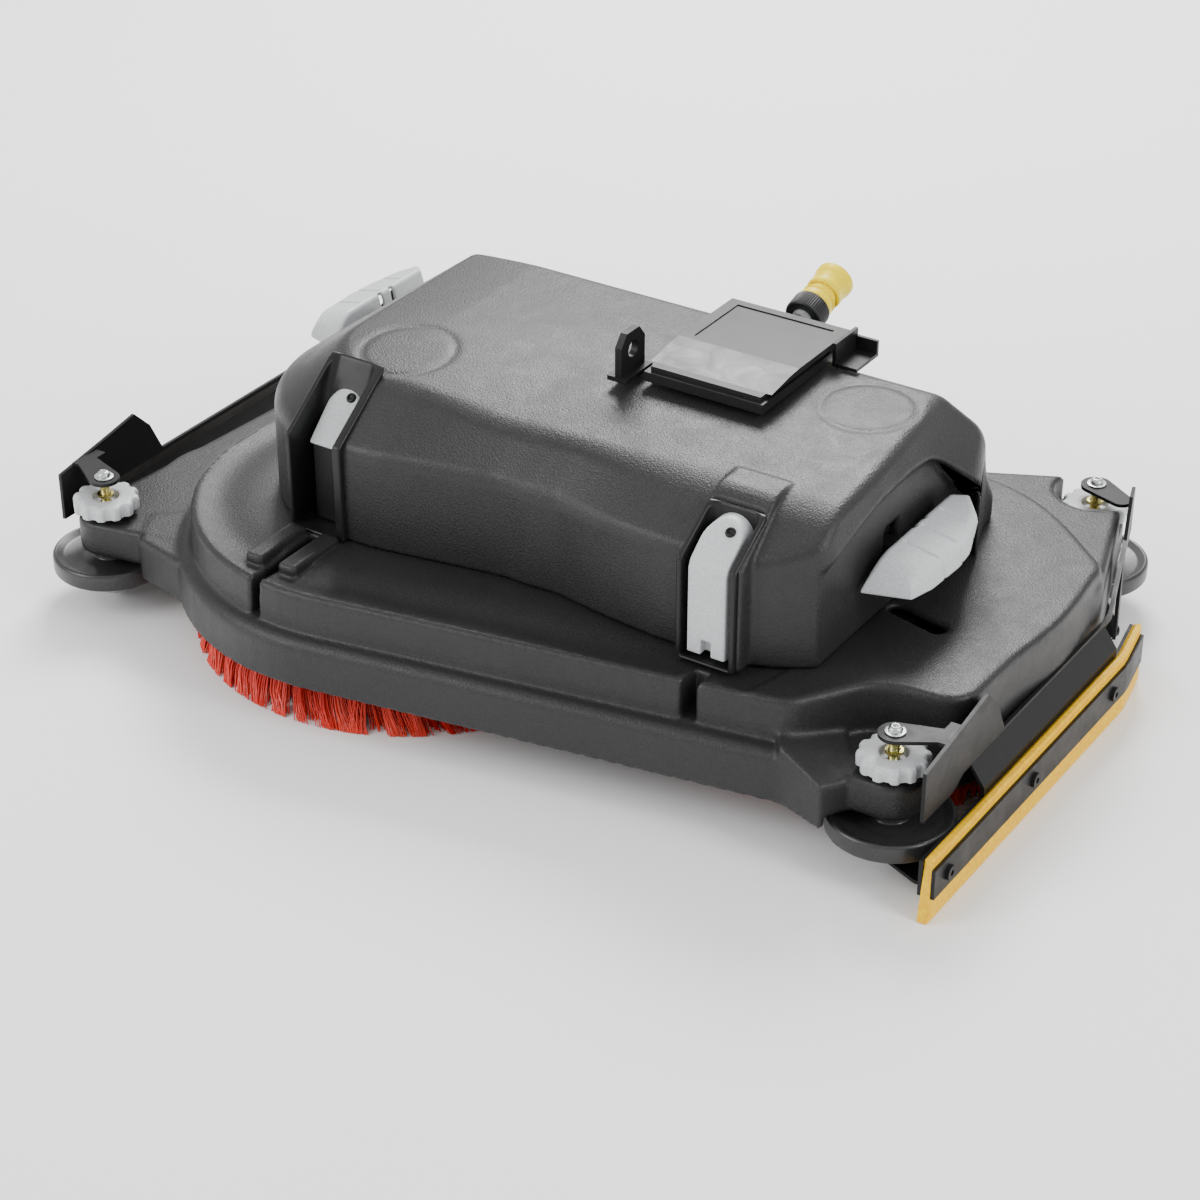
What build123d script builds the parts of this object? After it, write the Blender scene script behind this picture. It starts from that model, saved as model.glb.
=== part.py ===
"""Twin-disc scrubbing deck of a walk-behind floor scrubber, as an assembly of separate pieces.

Frame: millimetres, +Z up, +X to the machine's right, -Y is the front. The origin is on the floor,
under the centre of the bounding box. Two brushes hang under a moulded deck. A hood covers their
motors. A squeegee carrier hangs at each end on two threaded spindles, which the thumbwheels raise
and lower and which pass through the four corner rollers.
"""

import os
from math import cos, radians, sin

from build123d import *

# ---- driving dimensions ----
BRUSH = {"left": (-129, -89), "right": (232, 20)}  # brush axes
SPINDLE = {  # carrier spindle axes, which are also the roller axes
    "front_left": (-368, -201),
    "front_right": (368, -182),
    "rear_left": (-332, 239),
    "rear_right": (332, 239),
}
SIGN = {"left": -1, "right": 1}  # sign of X
SIDES = ("left", "right")

SKIRT_Z, FLANGE_Z, CORNER_Z, DECK_Z = 42, 80, 108, 120  # underside, flange, rear corners, deck top
WALL = 5
NOSE_R = 24  # rounded ends of the arms
SKIRT_R, STEP_R, RIGHT_LOBE_R = 199, 185, 174
ARM_Z = 58  # underside of the arms over the rollers

HOOD_WALL = 4
SHOULDER_Z, BROW_Z, HOOD_Z = 203, 241, 254  # top of the front face, of its slope, and of the hood
RECESS_EDGE = [(-150, 203), (-106, 218), (-68, 227), (-23, 230), (20, 226), (60, 212), (95, 198)]  # (y, z)
POCKET_X = {"left": -155, "right": 210}  # the two hanger pockets in the hood's front
POCKET_W, POCKET_BACK_Y, POCKET_TOP_Y, LINER_T = 42, -150, -134, 4

SHAFT_R, RUN = 12, 0.08  # brush shaft and the running clearance of every turning fit
MOTOR_R, FLANGE_R, SPIGOT_R, BOLT_CIRCLE_R = 42, 45, 28, 37
NOZZLE = {"left": (-59, -27), "right": (162, 82)}
BRISTLE_R, BRISTLE_TOP_R, BRISTLE_Z = 186, 163, 44
DISC_R, DISC_T = 165, 18

ROLLER_R, ROLLER_Z0, ROLLER_Z1 = 49, 29, 45
ROD_R, ROD_GAP, BUSH_R = 4, 0.4, 7
THUMB_R, THUMB_Z0, THUMB_Z1 = 28, 83, 97
LUG_Z0, LUG_Z1 = 110, 113
FOOT_Z0, FOOT_Z1 = 10, 13

SHEET = 3  # carrier sheet thickness
STRIP_X = 418.5  # inner face of the carrier's lower strip
UPPER_X = 406.5  # inner face of its upper plates
CARRIER_Y0 = {"left": -140, "right": -234}  # front ends of the strips
BEND_Y, WING_Y = 94, 106  # where the strips and the upper plates turn in
LIP_T, LIP_TOP_Z = 7.5, 53
CLAMP_Z0, CLAMP_Z1, CLAMP_T = 20, 45, 3
CLAMP_SCREW_Y = {"left": (-118, -24, 70), "right": (-212, -72, 70)}

PEDAL_Y = {"left": 87, "right": -25}  # along the pedal, where it is deepest
PEDAL_IN_X = {"left": 288, "right": 288}
PEDAL_X = {"left": 214, "right": 268}  # pedal hinge axis, out from X = 0
PEDAL_Z, LEVER_OFF = 172, -13

INLET = (120, 84, 256)  # centre of the water inlet's elbow
INLET_TILT = 15
EYE_X, EYE_Y, EYE_HOLE_Z, EYE_HOLE_R = 47, -37, 276, 7

PARTS = "parts"


# ---- helpers ----
def hull(*circles):
    """Convex outline round circles given as (x, y, radius)."""
    edges = [edge for x, y, r in circles for edge in (Pos(x, y) * Circle(r)).edges()]
    return make_hull(edges)


def prism(sketch, z0, z1):
    """Solid of a plan outline between two heights."""
    return extrude(Pos(0, 0, z0) * sketch, z1 - z0, dir=(0, 0, 1))


def drum(x, y, radius, z0, z1):
    """Upright cylinder between two heights."""
    return Pos(x, y, (z0 + z1) / 2) * Cylinder(radius, z1 - z0)


def tube(x, y, outer, inner, z0, z1):
    """Upright ring between two heights."""
    return drum(x, y, outer, z0, z1) - drum(x, y, inner, z0 - 1, z1 + 1)


def block(x0, x1, y0, y1, z0, z1):
    """Box between two corners."""
    return Pos((x0 + x1) / 2, (y0 + y1) / 2, (z0 + z1) / 2) * Box(x1 - x0, y1 - y0, z1 - z0)


def side_profile(points, x0, x1):
    """Solid of a (y, z) outline between two X planes."""
    return extrude(Plane.YZ.offset(x0) * Polygon(*points, align=None), x1 - x0, dir=(1, 0, 0))


def front_profile(points, y0, y1):
    """Solid of an (x, z) outline between two Y planes."""
    return extrude(Plane.XZ.offset(-y0) * Polygon(*points, align=None), y1 - y0, dir=(0, 1, 0))


def mirrored(shape, side):
    """The shape itself on the right, and its mirror image in X = 0 on the left."""
    return shape if side == "right" else mirror(shape, Plane.YZ)


def round_top(solid, radius):
    """Rounds the edges round the highest face."""
    return fillet(solid.edges().group_by(Axis.Z)[-1], radius)


def screw(x, y, z, direction, head_r, head_t, shank_r, shank_l):
    """Socket-headed screw whose head sits on the point and whose shank runs against direction."""
    seat = Plane(origin=(x, y, z), z_dir=direction)
    head = seat * Pos(0, 0, head_t / 2) * Cylinder(head_r, head_t)
    socket = seat * Pos(0, 0, head_t) * Cylinder(head_r * 0.4, head_t)
    shank = seat * Pos(0, 0, -shank_l / 2) * Cylinder(shank_r, shank_l)
    return head - socket + shank


def save(name, *shapes):
    """Writes one sub-part, as one solid or a group of separate solids."""
    solids = [solid for shape in shapes for solid in shape.solids()]
    whole = solids[0] if len(solids) == 1 else Compound(children=solids)
    export_step(whole, os.path.join(PARTS, name + ".step"))


# ---- deck ----
def flange_outline():
    """Outline of the four arms and the ends at flange height."""
    left = hull((*SPINDLE["front_left"], NOSE_R), (-357, -89, 24), (-250, -150, 50))
    left += hull((-357, -89, 24), (*SPINDLE["rear_left"], NOSE_R), (-150, 200, 40), (-150, -80, 60))
    right = hull((*SPINDLE["front_right"], NOSE_R), (300, -160, 50), (*BRUSH["right"], RIGHT_LOBE_R))
    right += hull((*SPINDLE["rear_right"], NOSE_R), (*BRUSH["right"], RIGHT_LOBE_R), (-150, 200, 40))
    return left + right


def skirt_outline(inset=0):
    """The rolled skirt round the left brush and along the front."""
    return hull((*BRUSH["left"], SKIRT_R - inset), (300, -190, 26 - inset), (200, 100, 40 - inset))


def step_outline(inset=0):
    """The raised step that carries the hood."""
    left = hull(
        (*BRUSH["left"], STEP_R - inset),
        (276, -179, 24 - inset),
        (-270, 180, 26 - inset),
        (*BRUSH["right"], 171 - inset),
    )
    right = hull((*BRUSH["right"], 171 - inset), (373, -106, 28 - inset), (375, 96, 26 - inset))
    return left + right


def deck_cavity():
    """Hollow underside, stopping short of the arms."""
    low = SKIRT_Z - 1
    ends = hull((-350, -95, 22), (-318, 150, 30), (-200, 100, 80)) + hull(
        (*BRUSH["right"], RIGHT_LOBE_R - WALL), (200, 150, 60), (-150, 195, 30)
    )
    hollow = prism(skirt_outline(WALL), low, FLANGE_Z - WALL)
    hollow += prism(ends, low, FLANGE_Z - WALL)
    return hollow + prism(step_outline(WALL), low, DECK_Z - WALL)


def deck_housing():
    """Moulded deck: flange, skirt, step, rear corner platforms and the four forked arms."""
    deck = prism(flange_outline(), SKIRT_Z, FLANGE_Z)
    deck += round_top(prism(skirt_outline(), SKIRT_Z, FLANGE_Z + 4), 10)
    deck += round_top(prism(step_outline(), SKIRT_Z, DECK_Z), 6)
    corners = {"left": (-262, 120, 100), "right": (376, 96, 26)}
    for side in SIDES:
        rear = hull((*SPINDLE["rear_" + side], NOSE_R), corners[side], (SIGN[side] * 262, 120, 100))
        deck += round_top(prism(rear, SKIRT_Z, CORNER_Z), 4)
        deck -= drum(*SPINDLE["rear_" + side], THUMB_R + 6, FLANGE_Z, DECK_Z)
    deck -= deck_cavity()
    for x, y in SPINDLE.values():
        deck -= drum(x, y, ROLLER_R + 4, SKIRT_Z - 10, ARM_Z)
        deck -= drum(x, y, BUSH_R, ARM_Z - 1, FLANGE_Z + 1)
    for side in SIDES:
        deck -= drum(*BRUSH[side], SPIGOT_R + 2, DECK_Z - WALL - 1, DECK_Z + 1)
        deck -= drum(*NOZZLE[side], 5, DECK_Z - WALL - 1, DECK_Z + 1)
        x = POCKET_X[side]
        deck -= block(x - 6, x + 6, -290, -232, FLANGE_Z + 5, DECK_Z + 1)
    slot_y = PEDAL_Y["right"] + LEVER_OFF
    return deck - block(288, 338, slot_y - 6, slot_y + 6, 110, DECK_Z + 1)


# ---- hood ----
def hood_block(inset=0):
    """Outer or inner volume of the hood: a plan outline cut by a side and a front profile."""
    main = hull(
        (-129, -64, 122 - inset), (266, -160, 24 - inset), (262, 107, 28 - inset), (-200, 95, 40 - inset)
    )
    corner = Polygon((324, 46), (324, 90), (308, 139), (240, 139), (240, 90), (280, 86), align=None)
    pillar = offset(corner, -inset) if inset else corner
    top, low = HOOD_Z - inset, DECK_Z - (5 if inset else 0)
    front, rear = -187 + inset, 138 - inset
    side = [(front, low), (front, SHOULDER_Z - inset / 2), (-125, BROW_Z - inset), (-70, top), (rear - 40, top)]
    side += [(rear, low)]
    left, right = -253 + inset, 324 - inset
    end = [(left, low), (left, 205), (left + 62, top - 6), (left + 110, top), (right - 53, top)]
    end += [(right - 34, 232 - inset), (right - 7, 203 - inset), (right, 196), (right, low)]
    outline = prism(main + pillar, low, top)
    body = outline & side_profile(side, -400, 400) & front_profile(end, -400, 400)
    slope = side_profile([(68 - inset, 256), (140 - inset, 140), (150, 140), (150, 256)], 150, 400)
    edge = [(-150, DECK_Z - 9)] + [(y, z + inset) for y, z in RECESS_EDGE] + [(95, DECK_Z - 9)]
    wall = 284 - inset
    plan = Polygon((wall, -160), (400, -160), (400, -30), (324, 46 + inset), (wall, 82 + inset), align=None)
    recess = side_profile(edge, wall, 400) & prism(plan, DECK_Z - 10, 260)
    return body - slope - recess


def pocket_profile(gap):
    """Side outline of a pocket, whose back leans rearwards above the shoulder."""
    low, lean = POCKET_BACK_Y + gap, POCKET_TOP_Y + gap
    return [(-230, DECK_Z - 6), (low, DECK_Z - 6), (low, SHOULDER_Z - 4), (lean, HOOD_Z), (-230, HOOD_Z)]


def pocket_void(side):
    """Space that a hanger pocket takes out of the hood."""
    half = POCKET_W / 2 + LINER_T + 0.3
    return side_profile(pocket_profile(LINER_T + 0.3), POCKET_X[side] - half, POCKET_X[side] + half)


def hood():
    """Thin-walled hood with the two pocket openings, the pedal slots and the inlet notch."""
    shell = hood_block() - hood_block(HOOD_WALL)
    shell -= block(-400, 400, -400, 400, 0, DECK_Z)
    for side in SIDES:
        shell -= pocket_void(side)
        y = PEDAL_Y[side] + LEVER_OFF
        shell -= mirrored(block(228, 330, y - 22, y + 22, PEDAL_Z - 16, PEDAL_Z + 20), side)
    x, y = INLET[:2]
    return shell - drum(x, y, 8, HOOD_Z - 10, HOOD_Z + 1) - block(x - 8, x + 8, y, y + 20, 240, 255)


def pocket_liner(side):
    """Smooth U-shaped pocket whose lips stand a little proud of the hood."""
    x, half = POCKET_X[side], POCKET_W / 2
    back = POCKET_BACK_Y + LINER_T
    lips = [(-190, DECK_Z), (-189, SHOULDER_Z - 3), (-146, 236), (-137, 236), (back, SHOULDER_Z - 4), (back, DECK_Z)]
    liner = side_profile(lips, x - half - LINER_T, x + half + LINER_T)
    void = [(-230, DECK_Z + LINER_T)] + [(y, max(z, DECK_Z + LINER_T)) for y, z in pocket_profile(0)[1:]]
    return liner - side_profile(void, x - half, x + half)


def front_cover(side):
    """Light cover over the hanger: an upright face and a sloping top with a clip notch."""
    x, half = POCKET_X[side], 16
    outline = [(-177, 125), (-176, 196), (-151, 221), (-145, 221), (-158, 198), (-158, 125)]
    cover = side_profile(outline, x - half, x + half)
    inner = [(-174, 120), (-173, 195), (-149, 218), (-130, 218), (-130, 120)]
    cover -= side_profile(inner, x - half + 3, x + half - 3)
    screw_hole = Pos(x, -163.5, 208.5) * Rot(45, 0, 0) * Cylinder(3.2, 30)
    return cover - block(x - 5, x + 5, -190, -165, 120, 140) - screw_hole


def cover_screws():
    """One screw in the sloping top of each front cover."""
    for side in SIDES:
        yield screw(POCKET_X[side], -163.4, 208.6, (0, -1, 1), 5, 2.5, 2.8, 9)


def hanger(side):
    """Sheet steel hanger behind the front cover, standing on the pocket's floor."""
    x, z = POCKET_X[side], DECK_Z + LINER_T
    post = side_profile([(-171, z), (-171, 190), (-160, 200), (-154, 200), (-154, z)], x - 11, x + 11)
    return post - side_profile([(-168, z + 4), (-168, 186), (-150, 186), (-150, z + 4)], x - 12, x + 12)


# ---- drives ----
def around(x, y, radius, angles=(45, 135, 225, 315)):
    """Points on a circle in plan."""
    return [(x + radius * cos(radians(a)), y + radius * sin(radians(a))) for a in angles]


def gearbox(side):
    """Planetary gearbox case whose flange is bolted over the hole in the deck."""
    x, y = BRUSH[side]
    case = drum(x, y, FLANGE_R, 124, 134) + drum(x, y, 30, 134, 150) + drum(x, y, SPIGOT_R, 104, 124)
    for px, py in around(x, y, BOLT_CIRCLE_R):
        case -= drum(px, py, 3.3, 120, 140)
    return case - drum(x, y, SHAFT_R + RUN, 100, 148)


def motor(side):
    """Motor can with cooling ribs and an end cap, standing on the gearbox."""
    x, y = BRUSH[side]
    can = drum(x, y, MOTOR_R - 2, 150, 216) + drum(x, y, MOTOR_R - 8, 216, 228)
    for k in range(16):
        can += Pos(x, y, 185) * Rot(0, 0, 22.5 * k) * Pos(MOTOR_R - 3, 0, 0) * Box(5, 3, 50)
    return can + drum(x, y, MOTOR_R, 150, 157)


def brush_hub(side):
    """Output shaft with its drive flange and three drive lugs."""
    x, y = BRUSH[side]
    hub = drum(x, y, SHAFT_R, 62, 146) + drum(x, y, 58, 62, 72)
    for k in range(3):
        hub += Pos(x, y, 76) * Rot(0, 0, 120 * k) * Pos(42, 0, 0) * Box(18, 12, 8)
    return hub


def brush_disc(side):
    """Moulded brush back with a recess for the drive flange and a ring of water holes."""
    x, y = BRUSH[side]
    disc = tube(x, y, DISC_R, 60, BRISTLE_Z, BRISTLE_Z + DISC_T) + drum(x, y, 64, BRISTLE_Z, BRISTLE_Z + 10)
    disc -= drum(x, y, 28, BRISTLE_Z - 1, BRISTLE_Z + 30)
    rim = tube(x, y, DISC_R, DISC_R - 6, BRISTLE_Z + DISC_T, BRISTLE_Z + DISC_T + 6)
    plate = tube(x, y, 58, 28, BRISTLE_Z + 10, 62)
    holes = [Pos(x, y, BRISTLE_Z) * Rot(0, 0, 60 * k) * Pos(90, 0, 0) * Cylinder(8, 60) for k in range(6)]
    return disc + plate + rim - holes


def bristles(side):
    """Bristle ring, flared outwards towards the floor."""
    x, y = BRUSH[side]
    outline = Polygon((72, 0), (BRISTLE_R, 0), (BRISTLE_TOP_R, BRISTLE_Z), (82, BRISTLE_Z), align=None)
    return Pos(x, y, 0) * revolve(Plane.XZ * outline, Axis.Z)


def gearbox_bolts():
    """Four bolts through each gearbox flange into the base frame."""
    for side in SIDES:
        for x, y in around(*BRUSH[side], BOLT_CIRCLE_R):
            yield screw(x, y, 134, (0, 0, 1), 5, 4, 3, 13)


def base_frame():
    """Steel plate on the deck that ties both gearboxes together and carries the valve's post."""
    plate = prism(hull(*[(*BRUSH[side], FLANGE_R + 0.5) for side in SIDES]), DECK_Z, DECK_Z + 4)
    plate += block(100, 140, 10, 96, DECK_Z, DECK_Z + 4) + block(100, 190, 70, 96, DECK_Z, DECK_Z + 4)
    plate += block(112, 128, 64, 80, DECK_Z + 3, 188)
    for side in SIDES:
        plate -= drum(*BRUSH[side], SPIGOT_R + 0.5, 100, 140) + drum(*NOZZLE[side], 5, 100, 140)
        for x, y in around(*BRUSH[side], BOLT_CIRCLE_R):
            plate -= drum(x, y, 3.3, 100, 140)
    return plate


# ---- top plate, lifting eye and water inlet ----
def top_block():
    """Base slab of the bracket on the hood, with a step round it."""
    return block(63, 170, -42, 74, HOOD_Z, 262) + block(67, 166, -38, 70, 262, 266)


def top_plate():
    """Folded plate on the slab: flat to the rear, sloping at the front, with two side flanges."""
    outline = [(-30, 266), (-2, 270), (12, 271), (94, 271), (94, 268), (93, 266)]
    plate = side_profile(outline, 62, 171)
    return plate - block(72, 161, 18, 86, 270, 272)


def rear_bracket():
    """Sheet bracket that stands behind the plate's right end."""
    foot = block(174, 196, 60, 96, HOOD_Z, HOOD_Z + 3)
    return foot + block(174, 177, 60, 96, HOOD_Z + 3, 274) + block(177, 196, 93, 96, HOOD_Z + 3, 268)


def lifting_eye():
    """Small bent bracket with one round hole."""
    foot = block(EYE_X - 9, EYE_X + 9, EYE_Y - 19, EYE_Y + 19, HOOD_Z, HOOD_Z + 4)
    outline = [(-17, 0), (-17, 26), (-9, 36), (9, 36), (17, 26), (17, 0)]
    tab = side_profile([(EYE_Y + y, HOOD_Z + 2 + z) for y, z in outline], EYE_X - 3, EYE_X + 3)
    hole = Pos(EYE_X, EYE_Y, EYE_HOLE_Z) * Rot(0, 90, 0) * Cylinder(EYE_HOLE_R, 20)
    return foot + tab - hole


def along_inlet(radius, start, end):
    """Cylinder on the tilted axis of the water inlet."""
    seat = Plane(origin=INLET, z_dir=(0, cos(radians(INLET_TILT)), sin(radians(INLET_TILT))))
    return seat * Pos(0, 0, (start + end) / 2) * Cylinder(radius, end - start)


def inlet_elbow():
    """Clear stub pipe that comes up through the hood and turns to the rear."""
    body = drum(*INLET[:2], 6, 236, INLET[2]) + Pos(*INLET) * Sphere(6) + along_inlet(6, 0, 22)
    body += along_inlet(9, 19, 36)
    bore = drum(*INLET[:2], 4, 230, INLET[2]) + Pos(*INLET) * Sphere(4) + along_inlet(4, 0, 40)
    return body - bore


def coupling_nut():
    """Knurled union nut on the stub."""
    nut = along_inlet(16.5, 24, 41) - along_inlet(9 + RUN, 20, 36) - along_inlet(8, 30, 45)
    return nut


def coupling_body():
    """Quick-coupling body: spigot inside the sleeve, with the bore that takes the hose adapter."""
    body = along_inlet(15, 41, 52) + along_inlet(12.5, 52, 78)
    return body - along_inlet(8, 40, 80)


def coupling_sleeve():
    """Outer locking sleeve that slides on the coupling body."""
    sleeve = along_inlet(15.6, 57, 72) + along_inlet(16.8, 71, 80) - along_inlet(12.5 + RUN, 50, 90)
    return sleeve


def water_hose(side):
    """Hose from the valve to the water nozzle over one brush."""
    start = (120 + SIGN[side] * 14, 72, 200)
    end = (*NOZZLE[side], 148)
    path = Spline(start, end, tangents=((SIGN[side], 0, 0), (0, 0, -1)))
    ring = Plane(origin=path @ 0, z_dir=path % 0) * (Circle(6) - Circle(4))
    return sweep(ring, path=path)


def water_nozzles():
    """Water nozzles through the deck, one beside each brush hub."""
    for x, y in NOZZLE.values():
        yield tube(x, y, 9, 2.5, 124, 134) + tube(x, y, 3.8, 2.5, 134, 150) + tube(x, y, 4.5, 2.5, 104, 124)


def water_valve():
    """Solenoid valve between the inlet and the two hoses."""
    body = block(106, 134, 58, 94, 188, 212) + drum(120, 66, 8, 212, 232)
    return body + tube(*INLET[:2], 5.7, 3, 212, 226)


def feed_hose():
    """Short upright hose from the inlet's lower end to the valve."""
    return tube(*INLET[:2], 8.5, 6.2, 212.5, 246)


# ---- corners ----
def roller_bushes():
    """Flanged bushes fixed in the arms; the rollers turn on them."""
    for x, y in SPINDLE.values():
        bush = drum(x, y, BUSH_R, 28, FLANGE_Z) + drum(x, y, 13, 25, 28) + drum(x, y, 11, FLANGE_Z, FLANGE_Z + 2)
        bush += drum(x, y, 12, ARM_Z - 6, ARM_Z)
        yield bush - drum(x, y, ROD_R + ROD_GAP, 20, 90)


def roller(corner):
    """Deflector roller with a dished top and a running bore."""
    x, y = SPINDLE[corner]
    wheel = drum(x, y, ROLLER_R, ROLLER_Z0, ROLLER_Z1)
    wheel = fillet(wheel.edges().filter_by(GeomType.CIRCLE), 5)
    wheel -= tube(x, y, 40, 17, ROLLER_Z1 - 3, ROLLER_Z1 + 1)
    return wheel + tube(x, y, 12, 8, ROLLER_Z1 - 1, 51) - drum(x, y, BUSH_R + RUN, 20, 60)


def thumbwheel(corner):
    """Lobed adjusting wheel that turns on the spindle thread."""
    x, y = SPINDLE[corner]
    wheel = drum(x, y, THUMB_R - 4, THUMB_Z0, THUMB_Z1 - 2)
    for k in range(12):
        wheel += Pos(x, y, (THUMB_Z0 + THUMB_Z1 - 2) / 2) * Rot(0, 0, 30 * k) * Pos(THUMB_R - 5, 0, 0) * Cylinder(
            5, THUMB_Z1 - 2 - THUMB_Z0
        )
    wheel -= drum(x, y, 17, THUMB_Z1 - 5, THUMB_Z1)
    wheel += drum(x, y, 9, THUMB_Z0, THUMB_Z1)
    return wheel - drum(x, y, ROD_R + RUN, THUMB_Z0 - 1, THUMB_Z1 + 1)


def spindle(corner):
    """Plated spindle between the carrier's foot and its lug."""
    x, y = SPINDLE[corner]
    rod = drum(x, y, ROD_R, FOOT_Z1, LUG_Z0) + drum(x, y, 7, LUG_Z0 - 4, LUG_Z0)
    return rod


def spindle_screws(corner):
    """Top screw with its washer, and the domed bolt under the foot."""
    x, y = SPINDLE[corner]
    top = drum(x, y, 8, LUG_Z1, LUG_Z1 + 2) + drum(x, y, 5.5, LUG_Z1 + 2, LUG_Z1 + 6)
    top -= drum(x, y, 2.5, LUG_Z1 + 4, LUG_Z1 + 8)
    low = drum(x, y, 9, 4, FOOT_Z0)
    return top, fillet(low.edges().group_by(Axis.Z)[0], 2.5)


# ---- squeegee carriers, drawn on the right and mirrored for the left ----
def bent_strip(x0, x1, y0, end, z0, z1):
    """Upright strip along Y between two X planes whose rear end turns inwards."""
    inwards = 1 + (end - 103) * 0.18
    turn = Polygon(
        (x0, BEND_Y), (x1, BEND_Y), (x1 - 1, 103), (x1 - inwards, end), (x0 - inwards, end), (x0 - 1, 103), align=None
    )
    return block(x0, x1, y0, BEND_Y, z0, z1) + prism(turn, z0, z1)


def lug(x, y, edge_x, edge_y, z0, z1):
    """Flat rounded ear from a spindle to the sheet."""
    return prism(hull((x, y, 13), (edge_x, edge_y, 9)), z0, z1)


def upper_plate():
    """Front upright with its peak, falling to the long web; and the web's slanted lower half."""
    edge = [(-212, 66), (-212, 108), (-150, 118), (-116, 124), (-98, 106), (-84, 78), (BEND_Y, 78), (BEND_Y, 74)]
    edge += [(-150, 74), (-165, 66)]
    plate = side_profile(edge, UPPER_X, UPPER_X + SHEET)
    web = [(UPPER_X, 75), (UPPER_X + SHEET, 75), (STRIP_X + SHEET, 58), (STRIP_X + SHEET, 54), (STRIP_X, 54), (STRIP_X, 57)]
    return plate + front_profile(web, -138, BEND_Y)


def wing():
    """Rear upright: the web turned in towards the rear spindle, rising to its ear."""
    plan = Polygon(
        (UPPER_X, 88), (UPPER_X, WING_Y), (366, 232), (368.8, 233), (UPPER_X + SHEET, WING_Y + 1), (UPPER_X + SHEET, 88),
        align=None,
    )
    above = [(80, 78), (96, 78), (190, 98), (216, 125), (80, 125)]
    below = [(80, 73), (96, 73), (180, 84), (240, 84), (240, 50), (80, 50)]
    leg = Polygon((383.4, 178), (386.2, 179), (381, 195), (378.2, 194), align=None)
    sheet = prism(plan, 60, 124) - side_profile(above, 300, 500) - side_profile(below, 300, 500)
    return sheet + prism(leg, FOOT_Z0, 86)


def carrier(side):
    """Bent sheet carrier: lower strip, web, front and rear uprights with ears, and two feet."""
    front = (abs(SPINDLE["front_" + side][0]), SPINDLE["front_" + side][1])
    rear = (abs(SPINDLE["rear_" + side][0]), SPINDLE["rear_" + side][1])
    y0 = CARRIER_Y0[side]
    sheet = bent_strip(STRIP_X, STRIP_X + SHEET, y0, 147, 20, 50)
    sheet += block(STRIP_X, STRIP_X + SHEET, max(y0, -138), BEND_Y, 49, 56) + upper_plate() + wing()
    sheet += lug(*front, 398, front[1] + 14, LUG_Z0, LUG_Z1) + lug(*rear, 360, 226, LUG_Z0, LUG_Z1)
    sheet += block(396, UPPER_X + 1, front[1] + 5, front[1] + 34, LUG_Z0, LUG_Z1)
    foot_y = front[1] + (-20 if side == "right" else 52)
    sheet += lug(*front, 406, foot_y, FOOT_Z0, FOOT_Z1) + lug(*rear, 376, 188, FOOT_Z0, FOOT_Z1)
    sheet += block(406, STRIP_X + SHEET, foot_y - 9, foot_y + 9, FOOT_Z0, FOOT_Z1)
    sheet += block(STRIP_X, STRIP_X + SHEET, max(foot_y - 9, y0), foot_y + 15, FOOT_Z0, 22)
    for x, y in (front, rear):
        sheet -= drum(x, y, 3, 0, 130)
    return mirrored(sheet - strip_holes(side, 3.2), side)


def strip_holes(side, radius):
    """Drills for the clamp screws through the strip, the lip and the carrier."""
    drill = Pos(STRIP_X + 6, 0, 32) * Rot(0, 90, 0) * Cylinder(radius, 30)
    return [Pos(0, y, 0) * drill for y in CLAMP_SCREW_Y[side]]


def squeegee(side):
    """Cast lip with a bevelled floor edge and a turned-in rear end."""
    x0, x1 = STRIP_X + SHEET, STRIP_X + SHEET + LIP_T
    lip = bent_strip(x0, x1, CARRIER_Y0[side] - 2, 147, 0, LIP_TOP_Z)
    bevel = front_profile([(x0 + 3, -1), (x1 + 1, -1), (x1 + 1, 9)], CARRIER_Y0[side] - 3, BEND_Y)
    return mirrored(lip - bevel - strip_holes(side, 3.2), side)


def clamp_strip(side):
    """Steel strip that clamps the lip to the carrier."""
    x0 = STRIP_X + SHEET + LIP_T
    strip = bent_strip(x0, x0 + CLAMP_T, CARRIER_Y0[side], 145, CLAMP_Z0, CLAMP_Z1)
    return mirrored(strip - strip_holes(side, 3.2), side)


def clamp_screws(side):
    """Three screws through the strip."""
    x0 = STRIP_X + SHEET + LIP_T + CLAMP_T
    return [mirrored(screw(x0, y, 32, (1, 0, 0), 6, 3, 2.9, 15), side) for y in CLAMP_SCREW_Y[side]]


# ---- pedals, drawn on the right about Y = 0 and then placed ----
def at_pedal(shape, side):
    """Puts a right-hand pedal piece on its side."""
    return mirrored(shape, side).moved(Location((0, PEDAL_Y[side], 0)))


def pedal(side):
    """Shallow foot pad, blunt at the front and narrowing to the rear, hollow underneath, with three grooves."""
    x0 = PEDAL_IN_X[side]
    outline = [(0, -70), (38, -58), (44, -35), (46, 5), (43, 30), (35, 61), (17, 83), (0, 65)]
    plan = Polygon(*[(x0 + x, y) for x, y in outline], align=None)
    pad = prism(plan, 156, 192)
    top = [(x0 - 1, 189), (x0 + 20, 186), (x0 + 40, 176), (x0 + 52, 167)]
    above = front_profile(top + [(x0 + 52, 200), (x0 - 1, 200)], -100, 120)
    below = side_profile([(-80, 150), (-80, 160), (25, 160), (62, 169), (90, 177), (90, 150)], x0 - 1, x0 + 60)
    inside = [(x, z - 3.5) for x, z in top] + [(x0 + 52, 140), (x0 - 1, 140)]
    hollow = prism(offset(plan, -3), 140, 190) & front_profile(inside, -100, 120)
    pad -= above + below + hollow
    for y in (-19, 11, 41):
        pad -= block(x0 + 8, x0 + 60, y - 1.5, y + 1.5, 140, 200) - prism(offset(plan, -1.5), 130, 200)
    return at_pedal(pad, side)


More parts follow.
